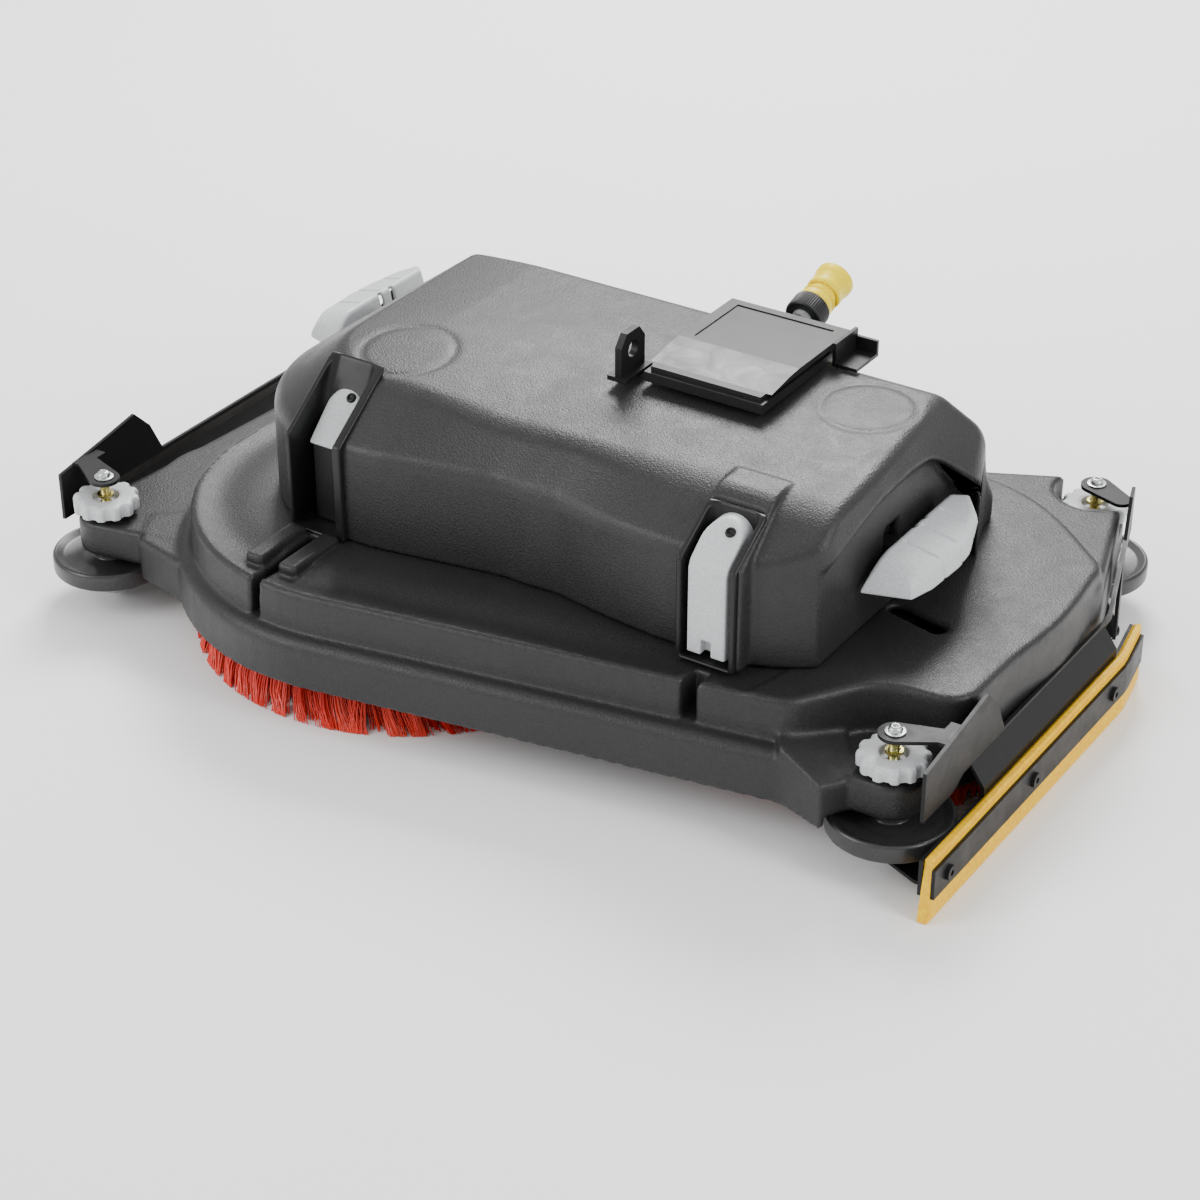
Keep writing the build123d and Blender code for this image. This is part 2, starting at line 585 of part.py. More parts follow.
def pedal_lever(side):
    """Lever from the pedal's inner face to its pivot."""
    axis, y = PEDAL_X[side], LEVER_OFF
    arm = block(axis, PEDAL_IN_X[side], y - 9, y + 9, PEDAL_Z - 5, PEDAL_Z + 5)
    eye = Pos(axis, y, PEDAL_Z) * Rot(90, 0, 0) * Cylinder(8, 18)
    hole = Pos(axis, y, PEDAL_Z) * Rot(90, 0, 0) * Cylinder(4 + RUN, 40)
    return at_pedal(arm + eye - hole, side)


def pedal_bracket(side):
    """Two-eared bracket with the pivot pin, standing on the deck."""
    axis, y = PEDAL_X[side], LEVER_OFF
    base = block(axis - 9, axis + 8, y - 20, y + 20, DECK_Z, DECK_Z + 4)
    for y0 in (y - 16, y + 12):
        base += block(axis - 9, axis + 8, y0, y0 + 4, DECK_Z + 4, PEDAL_Z + 10)
    return at_pedal(base + Pos(axis, y, PEDAL_Z) * Rot(90, 0, 0) * Cylinder(4, 36), side)


# ---- build ----
os.makedirs(PARTS, exist_ok=True)
save("deck_housing", deck_housing())
save("hood", hood())
save("base_frame", base_frame())
save("top_block", top_block())
save("top_plate", top_plate())
save("rear_bracket", rear_bracket())
save("lifting_eye", lifting_eye())
save("inlet_elbow", inlet_elbow())
save("coupling_nut", coupling_nut())
save("coupling_body", coupling_body())
save("coupling_sleeve", coupling_sleeve())
save("water_valve", water_valve())
save("feed_hose", feed_hose())
save("roller_bushes", *roller_bushes())
save("gearbox_bolts", *gearbox_bolts())
save("cover_screws", *cover_screws())
save("water_nozzles", *water_nozzles())
save("hangers", *map(hanger, SIDES))
save("pedal_brackets", *map(pedal_bracket, SIDES))
for side in SIDES:
    save("pocket_liner_" + side, pocket_liner(side))
    save("front_cover_" + side, front_cover(side))
    save("gearbox_" + side, gearbox(side))
    save("motor_" + side, motor(side))
    save("brush_hub_" + side, brush_hub(side))
    save("brush_disc_" + side, brush_disc(side))
    save("bristles_" + side, bristles(side))
    save("water_hose_" + side, water_hose(side))
    save("carrier_" + side, carrier(side))
    save("squeegee_" + side, squeegee(side))
    save("clamp_strip_" + side, clamp_strip(side))
    save("clamp_screws_" + side, *clamp_screws(side))
    save("pedal_" + side, pedal(side))
    save("pedal_lever_" + side, pedal_lever(side))
    corners = ("front_" + side, "rear_" + side)
    save("spindles_" + side, *[spindle(corner) for corner in corners])
    save("spindle_screws_" + side, *[piece for corner in corners for piece in spindle_screws(corner)])
for corner in SPINDLE:
    save("roller_" + corner, roller(corner))
    save("thumbwheel_" + corner, thumbwheel(corner))
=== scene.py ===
"""Looks for the scrubbing deck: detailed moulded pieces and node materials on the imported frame."""

import math

import bpy
import numpy as np
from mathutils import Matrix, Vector


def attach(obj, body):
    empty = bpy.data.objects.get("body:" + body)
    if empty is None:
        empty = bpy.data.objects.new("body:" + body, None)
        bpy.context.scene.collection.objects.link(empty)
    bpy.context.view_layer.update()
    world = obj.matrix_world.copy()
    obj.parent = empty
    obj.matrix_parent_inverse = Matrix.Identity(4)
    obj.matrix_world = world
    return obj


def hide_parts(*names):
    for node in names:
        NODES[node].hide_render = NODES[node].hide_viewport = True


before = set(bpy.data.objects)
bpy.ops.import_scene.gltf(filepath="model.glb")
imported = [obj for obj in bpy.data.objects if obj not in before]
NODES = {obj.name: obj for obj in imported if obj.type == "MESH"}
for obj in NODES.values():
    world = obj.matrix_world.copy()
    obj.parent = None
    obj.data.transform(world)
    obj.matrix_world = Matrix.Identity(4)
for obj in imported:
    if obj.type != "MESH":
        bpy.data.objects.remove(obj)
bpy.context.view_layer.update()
MM = 0.001  # metres in a millimetre; all shapes below are written in mm

BRUSH = {"left": (-129, -89), "right": (232, 20)}
SPINDLE = {
    "front_left": (-368, -201),
    "front_right": (368, -182),
    "rear_left": (-332, 239),
    "rear_right": (332, 239),
}
POCKET_X = {"left": -154, "right": 210}
SIGN = {"left": -1, "right": 1}
HOOD_TOP, SHOULDER, HOOD_FOOT = 254, 203, 120.3
STEP_TOP, REAR_TOP, SKIRT_TOP, ARM_TOP, DECK_FOOT = 119.6, 107.6, 84, 79.8, 42
CAMERA_PLACE, CAMERA_AIM, CAMERA_LENS = (1.1643, -1.8005, 1.2983), (0.021, -0.040, 0.0394), 89.0


# ---------------------------------------------------------------- node materials
def nodes_of(name):
    """New material with its tree and its Principled shader."""
    mat = bpy.data.materials.new(name)
    mat.use_nodes = True
    tree = mat.node_tree
    return mat, tree, tree.nodes["Principled BSDF"]


def link(tree, a, b):
    tree.links.new(a, b)


def noise(tree, coords, scale, detail=3.0, rough=0.55, distortion=0.0):
    """Noise value over the given coordinates."""
    node = tree.nodes.new("ShaderNodeTexNoise")
    node.inputs["Scale"].default_value = scale
    node.inputs["Detail"].default_value = detail
    node.inputs["Roughness"].default_value = rough
    node.inputs["Distortion"].default_value = distortion
    link(tree, coords, node.inputs["Vector"])
    return node.outputs["Fac"]


def ramp(tree, fac, stops):
    """Colour ramp through (position, colour) stops."""
    node = tree.nodes.new("ShaderNodeValToRGB")
    elements = node.color_ramp.elements
    while len(elements) < len(stops):
        elements.new(0.5)
    for element, (pos, color) in zip(elements, stops):
        element.position = pos
        element.color = (*color, 1) if len(color) == 3 else color
    link(tree, fac, node.inputs["Fac"])
    return node.outputs["Color"]


def span(tree, fac, low, high, a=0.0, b=1.0):
    """Maps a value from the range a to b onto the range low to high."""
    node = tree.nodes.new("ShaderNodeMapRange")
    for key, value in zip(("From Min", "From Max", "To Min", "To Max"), (a, b, low, high)):
        node.inputs[key].default_value = value
    link(tree, fac, node.inputs["Value"])
    return node.outputs["Result"]


def mixed(tree, fac, a, b):
    """Mix of two colours, each a tuple or a socket."""
    node = tree.nodes.new("ShaderNodeMix")
    node.data_type = "RGBA"
    if isinstance(fac, float):
        node.inputs["Factor"].default_value = fac
    else:
        link(tree, fac, node.inputs["Factor"])
    for socket, value in ((node.inputs[6], a), (node.inputs[7], b)):
        if isinstance(value, tuple):
            socket.default_value = (*value, 1)
        else:
            link(tree, value, socket)
    return node.outputs[2]


def bumped(tree, bsdf, layers):
    """Stacks bump layers given as (height, strength, distance in mm)."""
    normal = None
    for height, strength, distance in layers:
        node = tree.nodes.new("ShaderNodeBump")
        node.inputs["Strength"].default_value = strength
        node.inputs["Distance"].default_value = distance * MM
        link(tree, height, node.inputs["Height"])
        if normal is not None:
            link(tree, normal, node.inputs["Normal"])
        normal = node.outputs["Normal"]
    link(tree, normal, bsdf.inputs["Normal"])


def object_coords(tree):
    return tree.nodes.new("ShaderNodeTexCoord").outputs["Object"]


def plastic(name, dark, light, grain=900, bump=0.3, depth=0.25, rough=(0.42, 0.6), spec=0.5):
    """Moulded plastic: fine spark-eroded grain, slow tone changes and uneven gloss."""
    mat, tree, bsdf = nodes_of(name)
    co = object_coords(tree)
    fine = noise(tree, co, grain, 2.0, 0.6)
    slow = noise(tree, co, 14, 4.0, 0.6)
    base = mixed(tree, slow, dark, light)
    base = mixed(tree, span(tree, fine, 0.0, 0.5, 0.4, 0.7), base, tuple(min(1, v * 1.6) for v in light))
    link(tree, base, bsdf.inputs["Base Color"])
    smear = noise(tree, co, 40, 5.0, 0.65, 0.6)
    link(tree, span(tree, smear, *rough, 0.3, 0.7), bsdf.inputs["Roughness"])
    bsdf.inputs["Specular IOR Level"].default_value = spec
    bumped(tree, bsdf, [(slow, 0.12, 1.2), (fine, bump, depth)])
    return mat


def metal(name, color, rough=(0.25, 0.4), streak=(400, 30, 400), bump=0.08, tint=None):
    """Turned or rolled metal: fine directional streaks with small stains."""
    mat, tree, bsdf = nodes_of(name)
    co = object_coords(tree)
    scale = tree.nodes.new("ShaderNodeMapping")
    scale.inputs["Scale"].default_value = streak
    link(tree, co, scale.inputs["Vector"])
    lines = noise(tree, scale.outputs["Vector"], 4, 4.0, 0.6)
    stains = noise(tree, co, 90, 4.0, 0.6)
    dim = tuple(v * 0.72 for v in color)
    base = mixed(tree, stains, dim, color)
    if tint:
        base = mixed(tree, span(tree, noise(tree, co, 160, 2.0), 0.0, 0.8, 0.4, 0.65), base, tint)
    link(tree, base, bsdf.inputs["Base Color"])
    bsdf.inputs["Metallic"].default_value = 1.0
    link(tree, span(tree, lines, *rough, 0.3, 0.7), bsdf.inputs["Roughness"])
    bumped(tree, bsdf, [(lines, bump, 0.1)])
    return mat


def bristle_material():
    """Nylon filaments: each tuft has its own tone from a point attribute, paler towards the tips."""
    mat, tree, bsdf = nodes_of("red_nylon")
    tone = tree.nodes.new("ShaderNodeAttribute")
    tone.attribute_name = "tone"
    co = object_coords(tree)
    stops = [(0.0, (0.42, 0.012, 0.008)), (0.5, (0.78, 0.035, 0.02)), (1.0, (0.95, 0.11, 0.07))]
    color = ramp(tree, tone.outputs["Fac"], stops)
    color = mixed(tree, span(tree, noise(tree, co, 500, 2.0), 0.0, 0.35), color, (0.55, 0.01, 0.01))
    link(tree, color, bsdf.inputs["Base Color"])
    bsdf.inputs["Roughness"].default_value = 0.38
    bsdf.inputs["Subsurface Weight"].default_value = 0.08
    bsdf.inputs["Subsurface Radius"].default_value = (0.003, 0.001, 0.001)
    bumped(tree, bsdf, [(noise(tree, co, 1500, 1.0), 0.15, 0.05)])
    return mat


def clear_material():
    """Slightly frosted clear plastic pipe."""
    mat, tree, bsdf = nodes_of("clear_pipe")
    co = object_coords(tree)
    link(tree, mixed(tree, noise(tree, co, 120), (0.80, 0.84, 0.84), (0.95, 0.97, 0.97)), bsdf.inputs["Base Color"])
    bsdf.inputs["Transmission Weight"].default_value = 0.75
    bsdf.inputs["IOR"].default_value = 1.45
    link(tree, span(tree, noise(tree, co, 300), 0.05, 0.2), bsdf.inputs["Roughness"])
    bumped(tree, bsdf, [(noise(tree, co, 260), 0.1, 0.2)])
    return mat


BLACK = plastic("moulded_black", (0.010, 0.010, 0.0103), (0.018, 0.018, 0.0185), 620, 0.9, 0.5, (0.34, 0.46), spec=0.36)
SATIN = plastic("satin_black", (0.006, 0.006, 0.0065), (0.011, 0.011, 0.0115), 1600, 0.08, 0.1, (0.28, 0.42), spec=0.3)
ROLLER = plastic("roller_plastic", (0.012, 0.012, 0.0125), (0.024, 0.024, 0.025), 500, 0.12, 0.2, (0.26, 0.4))
PALE = plastic("light_grey", (0.40, 0.41, 0.42), (0.48, 0.49, 0.50), 900, 0.12, 0.12, (0.4, 0.55))
BACK = plastic("brush_back", (0.03, 0.03, 0.032), (0.06, 0.06, 0.064), 600, 0.2, 0.2, (0.45, 0.6))
AMBER = plastic("amber_lip", (0.74, 0.37, 0.0), (0.84, 0.46, 0.0), 260, 0.12, 0.25, (0.4, 0.55), spec=0.25)
YELLOW = plastic("yellow_plastic", (0.80, 0.55, 0.0), (0.88, 0.63, 0.0), 900, 0.06, 0.1, (0.3, 0.42), spec=0.25)
PAINT = plastic("black_paint", (0.005, 0.005, 0.0055), (0.010, 0.010, 0.0105), 1100, 0.16, 0.12, (0.34, 0.5), spec=0.22)
HOSE = plastic("hose_rubber", (0.015, 0.015, 0.015), (0.035, 0.035, 0.035), 700, 0.2, 0.2, (0.5, 0.65))
ZINC = metal("bright_zinc", (0.66, 0.67, 0.68))
GOLD = metal("yellow_zinc", (0.62, 0.50, 0.16), (0.22, 0.36), tint=(0.55, 0.58, 0.30))
ALLOY = metal("cast_alloy", (0.50, 0.51, 0.53), (0.4, 0.55), (200, 200, 200), 0.3)
BRASS = metal("valve_brass", (0.62, 0.45, 0.20), (0.3, 0.45))
RED = bristle_material()
CLEAR = clear_material()


# ---------------------------------------------------------------- solid fields
def rmax(a, b, r):
    """Intersection whose meeting edge is rounded with radius r."""
    if r <= 0:
        return np.maximum(a, b)
    return np.minimum(-r, np.maximum(a, b)) + np.hypot(np.maximum(a + r, 0), np.maximum(b + r, 0))


def rmin(a, b, r):
    """Union whose inner corner is filled with radius r."""
    return -rmax(-a, -b, r)


def cut(a, b, r=0.0):
    """a without b."""
    return rmax(a, -b, r)


def hull_points(circles, n=72):
    """Convex outline round (x, y, r) circles, anticlockwise."""
    points = []
    for x, y, r in circles:
        for k in range(n):
            t = 2 * math.pi * k / n
            points.append((round(x + r * math.cos(t), 4), round(y + r * math.sin(t), 4)))
    points = sorted(set(points))

    def half(seq):
        out = []
        for p in seq:
            while len(out) > 1 and (out[-1][0] - out[-2][0]) * (p[1] - out[-2][1]) <= (out[-1][1] - out[-2][1]) * (
                p[0] - out[-2][0]
            ):
                out.pop()
            out.append(p)
        return out[:-1]

    return half(points) + half(points[::-1])


def convex(u, v, points):
    """Signed distance (inside exact) to a convex outline listed anticlockwise."""
    best = None
    for (x0, y0), (x1, y1) in zip(points, points[1:] + points[:1]):
        length = math.hypot(x1 - x0, y1 - y0)
        if length < 1e-6:
            continue
        d = ((u - x0) * (y1 - y0) - (v - y0) * (x1 - x0)) / length
        best = d if best is None else np.maximum(best, d)
    return best


def hulls(x, y, *circles):
    """Distance to the convex outline round (x, y, r) circles."""
    return convex(x, y, hull_points(circles))


class Field:
    """A grid in mm over which a shape's signed distance is worked out and turned into a mesh.

    x, y and z are open axes. A term such as 0 * f.z spreads a flat shape over all three.
    """

    def __init__(self, lo, hi, step):
        self.lo, self.step = np.array(lo, float), step
        self.n = [int(math.ceil((h - l) / step)) + 1 for l, h in zip(lo, hi)]
        axes = [l + step * np.arange(n) for l, n in zip(lo, self.n)]
        self.x, self.y, self.z = (
            axes[0][:, None, None],
            axes[1][None, :, None],
            axes[2][None, None, :],
        )

    def box(self, x0, x1, y0, y1, z0, z1, r=0.0):
        dx = np.abs(self.x - (x0 + x1) / 2) - (x1 - x0) / 2
        dy = np.abs(self.y - (y0 + y1) / 2) - (y1 - y0) / 2
        dz = np.abs(self.z - (z0 + z1) / 2) - (z1 - z0) / 2
        return rmax(rmax(dx, dy, r), dz, r)

    def rod(self, cx, cy, r):
        return np.hypot(self.x - cx, self.y - cy) - r

    def mesh(self, field, name, material, body, stands_for, slot_name, smooth=2):
        points, faces = surface(np.broadcast_to(field, self.n).astype(np.float32), self.lo, self.step, smooth)
        return piece(name, points, faces, material, body, stands_for, slot_name)


def sample(field, p):
    """Trilinear value of a grid at fractional grid places."""
    p = np.clip(p, 0, np.array(field.shape) - 1.001)
    i = p.astype(int)
    f = p - i
    total = 0
    for dx in (0, 1):
        for dy in (0, 1):
            for dz in (0, 1):
                wx, wy, wz = (f[:, k] if d else 1 - f[:, k] for k, d in enumerate((dx, dy, dz)))
                total = total + wx * wy * wz * field[i[:, 0] + dx, i[:, 1] + dy, i[:, 2] + dz]
    return total


def surface(field, lo, step, rounds):
    """Surface nets: one vertex per cell that the surface crosses, drawn onto the surface."""
    inside = field < 0
    corner = [(a, b, c) for a in (0, 1) for b in (0, 1) for c in (0, 1)]
    n = np.array(field.shape) - 1
    total = np.zeros(n, np.int8)
    for a, b, c in corner:
        total += inside[a : n[0] + a, b : n[1] + b, c : n[2] + c]
    cells = np.argwhere((total > 0) & (total < 8))
    index = np.full(n, -1, np.int64)
    index[tuple(cells.T)] = np.arange(len(cells))
    summed, count = np.zeros((len(cells), 3)), np.zeros((len(cells), 1))
    for axis in range(3):
        for a, b, c in corner:
            if (a, b, c)[axis]:
                continue
            p0 = cells + (a, b, c)
            p1 = p0.copy()
            p1[:, axis] += 1
            f0, f1 = field[tuple(p0.T)], field[tuple(p1.T)]
            hit = (f0 < 0) != (f1 < 0)
            t = np.where(hit, f0 / np.where(hit, f0 - f1, 1), 0)
            place = p0.astype(float)
            place[:, axis] += t
            summed += place * hit[:, None]
            count += hit[:, None]
    points = summed / count
    for _ in range(rounds):
        value = sample(field, points)
        slope = np.stack(
            [sample(field, points + d) - sample(field, points - d) for d in np.eye(3) * 0.5], axis=1
        )
        length = np.maximum((slope**2).sum(axis=1), 1e-9)
        move = -slope * (value / length)[:, None]
        points += np.clip(move, -0.4, 0.4)
    faces = []
    for axis in range(3):
        u, v = [(1, 2), (2, 0), (0, 1)][axis]
        s0 = [slice(1, -1)] * 3
        s0[axis] = slice(0, -1)
        s1 = list(s0)
        s1[axis] = slice(1, None)
        a, b = inside[tuple(s0)], inside[tuple(s1)]
        at = np.argwhere(a != b)
        flip = b[tuple(at.T)]
        at = at + [0 if k == axis else 1 for k in range(3)]
        du, dv = np.zeros(3, int), np.zeros(3, int)
        du[u], dv[v] = 1, 1
        quad = np.stack([index[tuple((at - s).T)] for s in (du + dv, dv, 0 * du, du)], axis=1)
        quad[flip] = quad[flip][:, ::-1]
        faces.append(quad)
    return lo + points * step, np.concatenate(faces)


def piece(name, points, faces, material, body, stands_for=(), slot_name=None, sharp=None):
    """Mesh object from points in mm, riding on a body."""
    mesh = bpy.data.meshes.new(name)
    mesh.from_pydata((np.asarray(points) * MM).tolist(), [], [list(map(int, f)) for f in faces])
    mesh.materials.append(material)
    mesh.polygons.foreach_set("use_smooth", [True] * len(mesh.polygons))
    obj = bpy.data.objects.new(name, mesh)
    bpy.context.scene.collection.objects.link(obj)
    if sharp:
        mesh.set_sharp_from_angle(angle=math.radians(sharp))
    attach(obj, body)
    if stands_for:
        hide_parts(*stands_for)
    return obj


def lathe(profile, segments=64, radius=None):
    """Points and faces of a closed (r, z) profile turned about Z; radius(angle, r, z) may vary r."""
    points, faces = [], []
    m = len(profile)
    for k in range(segments):
        t = 2 * math.pi * k / segments
        for r, z in profile:
            q = radius(t, r, z) if radius else r
            points.append((q * math.cos(t), q * math.sin(t), z))
    for k in range(segments):
        for j in range(m):
            a, b = k * m + j, k * m + (j + 1) % m
            c, d = ((k + 1) % segments) * m + (j + 1) % m, ((k + 1) % segments) * m + j
            faces.append((a, d, c, b))
    return np.array(points), faces


def rounded(profile, r=0.6, steps=3):
    """Closed profile with its corners rounded."""
    out, n = [], len(profile)
    for i in range(n):
        p, a, b = (np.array(profile[j % n], float) for j in (i, i - 1, i + 1))
        la, lb = np.linalg.norm(a - p), np.linalg.norm(b - p)
        k = min(r, la * 0.45, lb * 0.45)
        pa, pb = p + (a - p) / la * k, p + (b - p) / lb * k
        for s in range(steps + 1):
            t = s / steps
            out.append(tuple((1 - t) ** 2 * pa + 2 * t * (1 - t) * p + t * t * pb))
    return out


def merged(parts):
    """One mesh from several (points, faces) pairs."""
    points, faces, start = [], [], 0
    for part_points, part_faces in parts:
        points.append(part_points)
        faces += [tuple(i + start for i in face) for face in part_faces]
        start += len(part_points)
    return np.concatenate(points), faces


def tilt_place(points, origin, direction):
    """Moves points drawn about +Z to an origin and direction."""
    rot = Vector((0, 0, 1)).rotation_difference(Vector(direction)).to_matrix()
    return np.asarray(points) @ np.array(rot).T + np.array(origin)


# ---------------------------------------------------------------- hood
def line_through(v, *points):
    """Piecewise straight curve through points, at the places v."""
    xs, ys = zip(*points)
    return np.interp(v, xs, ys)


def soft_line(v, width, *points):
    """The same curve with its corners softened over a width."""
    return sum(line_through(v + d, *points) for d in (-width, -width / 2, 0, width / 2, width)) / 5


# Lines that shape the hood: plan of the front below and above its bevel, then lines through (y, z) and (y, slope).
FRONT_LOW = ((-260, -188), (-94, -186), (2, -168), (61, -164), (158, -181), (300, -179))
FRONT_BROW = ((-260, -139), (-94, -138), (18, -131), (66, -129), (150, -127), (300, -122))
BEVEL_EDGE = ((-175, 203), (-150, 206), (-106, 220), (-68, 229), (-23, 232), (95, 230))
RECESS_ROOF = ((-175, 202), (-150, 204), (-106, 218), (-68, 227), (-23, 230), (8, 228), (22, 221), (42, 201))
RECESS_ROOF += ((90, 150),)
SIDE_STEEP = ((-160, 3.6), (-106, 3.0), (-30, 1.9), (10, 1.4), (60, 1.0))


def hood_volume(f, inset):
    """Hood as half-spaces: plan outline, bowed front, brow, conical left end, bevelled right end, recess."""
    x, y, z = f.x, f.y, f.z + inset
    left = hulls(x, y, (-129, -66, 125 - inset), (60, -40, 121 - inset), (60, 20, 117 - inset), (-158, 92, 44 - inset))
    corners = [(290 - inset, -148), (290 - inset, 30), (324 - inset, 50), (324 - inset, 88), (308 - inset, 138)]
    corners += [(0, 138), (0, -186), (274, -186)]
    right = convex(x, y, corners)
    middle = hulls(x, y, (40, -44, 134 - inset), (200, -44, 134 - inset), (200, 18, 118), (60, 18, 118 - inset))
    plan = rmin(rmax(left, x - 62, 0), rmax(rmin(middle, rmax(right, 40 - x, 0), 20), 40 - x, 0), 30)
    low, brow = soft_line(x, 4, *FRONT_LOW), soft_line(x, 4, *FRONT_BROW)
    front = low + inset - y
    lean = (brow - low) / 38
    slope = (low + inset + (z - SHOULDER) * lean - y) / np.sqrt(1 + lean**2)
    start = soft_line(x, 15, (-90, -122), (-10, -78))
    roof = rmax(z - HOOD_TOP, (z - HOOD_TOP - (y - start) * 0.236) / 1.027, 30)
    reach = np.hypot(np.minimum(x + 129, 0), np.minimum(y + 66, 0)) - 126 + inset
    cone = np.maximum((reach + (z - 205) * 1.44) / 1.753, (reach + 62 + (z - 248) * 8) / 8.06)
    back, fall = line_through(x, (100, 98), (190, 68)), line_through(x, (100, 0.3), (190, 0.62))
    rear = rmax((y - back + inset + (z - HOOD_TOP) * fall) / np.sqrt(1 + fall**2), y - 138 + inset + 0 * z, 8)
    edge, steep = soft_line(y, 6, *BEVEL_EDGE), soft_line(y, 12, *SIDE_STEEP)
    bevel = (z - edge + (x - 290 + inset) * steep) / np.sqrt(1 + steep**2)
    body = rmax(plan, front, 0 if inset else 10)
    body = rmax(body, rear, 14)
    body = rmax(body, slope, 6)
    body = rmax(body, cone, 8)
    body = rmax(body, bevel, 7)
    wall = 284 - inset - x
    side = (x - 324) * 0.69 + (y - 46 - inset) * 0.724 + 0 * z
    ceiling = soft_line(y, 4, *RECESS_ROOF)
    recess = rmax(rmax(wall, side, 8), rmax((z - inset - ceiling) / 1.1, -151 - y, 4), 8)
    body = cut(body, recess, 0 if inset else 4)
    return rmax(body, roof, 8)


def surround(f):
    """Ramp behind the right pocket: raised at the shoulder, level with the slope at its top."""
    cx = POCKET_X["right"]
    flank = (f.x - cx - 29 + np.maximum(0, f.z - 208) * 0.12) / 1.01
    block = rmax(flank, cx - 25 - f.x + 0 * f.z, 2)
    slope = (f.z - 241.5 - (f.y + 132) * 0.62) / 1.177
    shape = rmax(rmax(block, slope, 2), -187 - f.y, 3)
    return rmax(rmax(shape, f.z - 243, 4), f.y + 105, 0)


PROUD = {"left": (241, -139, 0.72), "right": (243, -132, 0.64)}  # slope of the lips through (z, y)
POCKET_BACK = {"left": (-150, -130), "right": (-152, -143)}  # back of the pocket at its foot and at z 240


def pocket(f, side, gap):
    """Space inside one pocket: upright walls, and a back that leans rearwards above the shoulder."""
    low, top = POCKET_BACK[side]
    lean = f.y - (low + gap + np.maximum(0, f.z - 199) / 41 * (top - low))
    shape = rmax(np.abs(f.x - POCKET_X[side]) - 21 - gap, lean, 7)
    return np.maximum(shape, 122 - gap - f.z)


def emboss(f, cx, cy, r):
    """Height of the shallow ring pressed into the hood's top."""
    d = np.hypot(f.x - cx, f.y - cy) - r
    return 1.5 * np.exp(-((d / 3.6) ** 2))


def make_hood():
    f = Field((-262, -198, 116), (334, 146, 262), 2.0)
    outer = hood_volume(f, 0)
    outer = rmin(outer, surround(f), 3)
    rings = emboss(f, -131, -88, 38) + emboss(f, 230, 18, 38)
    outer = outer + rings * np.clip((f.z - 235) / 10, 0, 1)
    shell = cut(outer, hood_volume(f, 7))
    shell = np.maximum(shell, HOOD_FOOT - f.z)
    for side in SIGN:
        shell = cut(shell, pocket(f, side, 3.4), 0.8)
    slots = np.minimum(f.box(262, 287, -50, -28, 160, 192, 2), f.box(-262, -190, 62, 86, 158, 190, 2))
    shell = cut(shell, slots, 1)
    shell = cut(shell, np.maximum(f.rod(120, 84, 8), 245 - f.z), 1)
    f.mesh(shell, "hood_shell", BLACK, "deck", ["hood"], "moulded_black", 3)


def make_liner(side):
    """Smooth pocket with thin lips, proudest at the shoulder and running out at the top."""
    cx = POCKET_X[side]
    f = Field((cx - 32, -200, 117), (cx + 32, -110, 258), 1.2)
    wide = 7.5 if side == "left" else 4.6
    wall = np.maximum(cx - 21 - 4.2 - f.x, f.x - cx - 21 - wide) + 0 * f.y
    z0, y0, lean = PROUD[side]
    top = (f.z - z0 - (f.y - y0) * lean) / math.hypot(1, lean)
    shape = rmax(rmax(wall, -190.5 - f.y + 0 * f.z, 1.6), top, 1.4)
    low, high = POCKET_BACK[side]
    back = f.y - (low + 3.4 + np.maximum(0, f.z - 199) / 41 * (high - low)) + 0 * f.x
    shape = np.maximum(rmax(shape, back, 7), 120.2 - f.z)
    shape = cut(shape, pocket(f, side, 0), 1.0)
    f.mesh(shape, "pocket_lips_" + side, SATIN, "deck", ["pocket_liner_" + side], "satin_black")


# Half width, face, slope through (y, z) with its run, and foot of each cover.
COVER = {
    "left": (15.0, -172.5, (-175, 190, 1.055), 190),
    "right": (16.6, -187.5, (-184, 205, 1.25), 126.2),
}


def make_cover(side):
    """Pale cover: flat face, bevel line at the shoulder, rounded sloping top with a small dark screw."""
    half, face, (y0, z0, run), foot = COVER[side]
    cx = POCKET_X[side]
    f = Field((cx - 19, -192, 122), (cx + 19, -128, 234), 1.0)
    side_wall = np.abs(f.x - cx) - half + 0 * f.z
    front = face - f.y
    bevel = (face + (f.z - 197) * 0.42 - f.y) / 1.085
    slope = (y0 + (f.z - z0) * run - f.y) / math.hypot(1, run)
    shape = rmax(rmax(rmax(side_wall, front, 1.8), bevel, 0.6), slope, 1.2)
    shape = np.maximum(shape, f.y + 134)
    dome = np.hypot(f.x - cx, (f.z - 212) * 1.05) - half - 0.8
    shape = rmax(shape, np.where(f.z > 212, dome, -99.0 + 0 * f.y), 1.2)
    inner = np.maximum(np.maximum(side_wall + 2.6, front + 2.8), np.maximum(slope + 2.6, dome * (f.z > 212) + 2.6))
    shape = cut(shape, inner)
    shape = np.maximum(shape, foot - f.z)
    shape = cut(shape, f.box(cx - 4.2, cx + 4.2, -200, -180, 118, 139), 0.6)
    f.mesh(shape, "hanger_cover_" + side, PALE, "deck", ["front_cover_" + side], "light_grey")


def make_cover_screws():
    """One dark pan-head screw in each cover's sloping top."""
    head = [(0.01, -1), (4.2, -1), (4.2, 1.0), (3.6, 1.9), (2.2, 2.2), (1.9, 1.0), (0.01, 0.9)]
    z, parts = 222.0, []
    for side in SIGN:
        y0, z0, run = COVER[side][2]
        length = math.hypot(1, run)
        points, faces = lathe(rounded(head, 0.3, 2), 40)
        place = (POCKET_X[side] + 5, y0 + (z - z0) * run, z)
        parts.append((tilt_place(points, place, (0, -1 / length, run / length)), faces))
    piece("cover_screw_heads", *merged(parts), PAINT, "deck", ["cover_screws"], "zinc", 35)


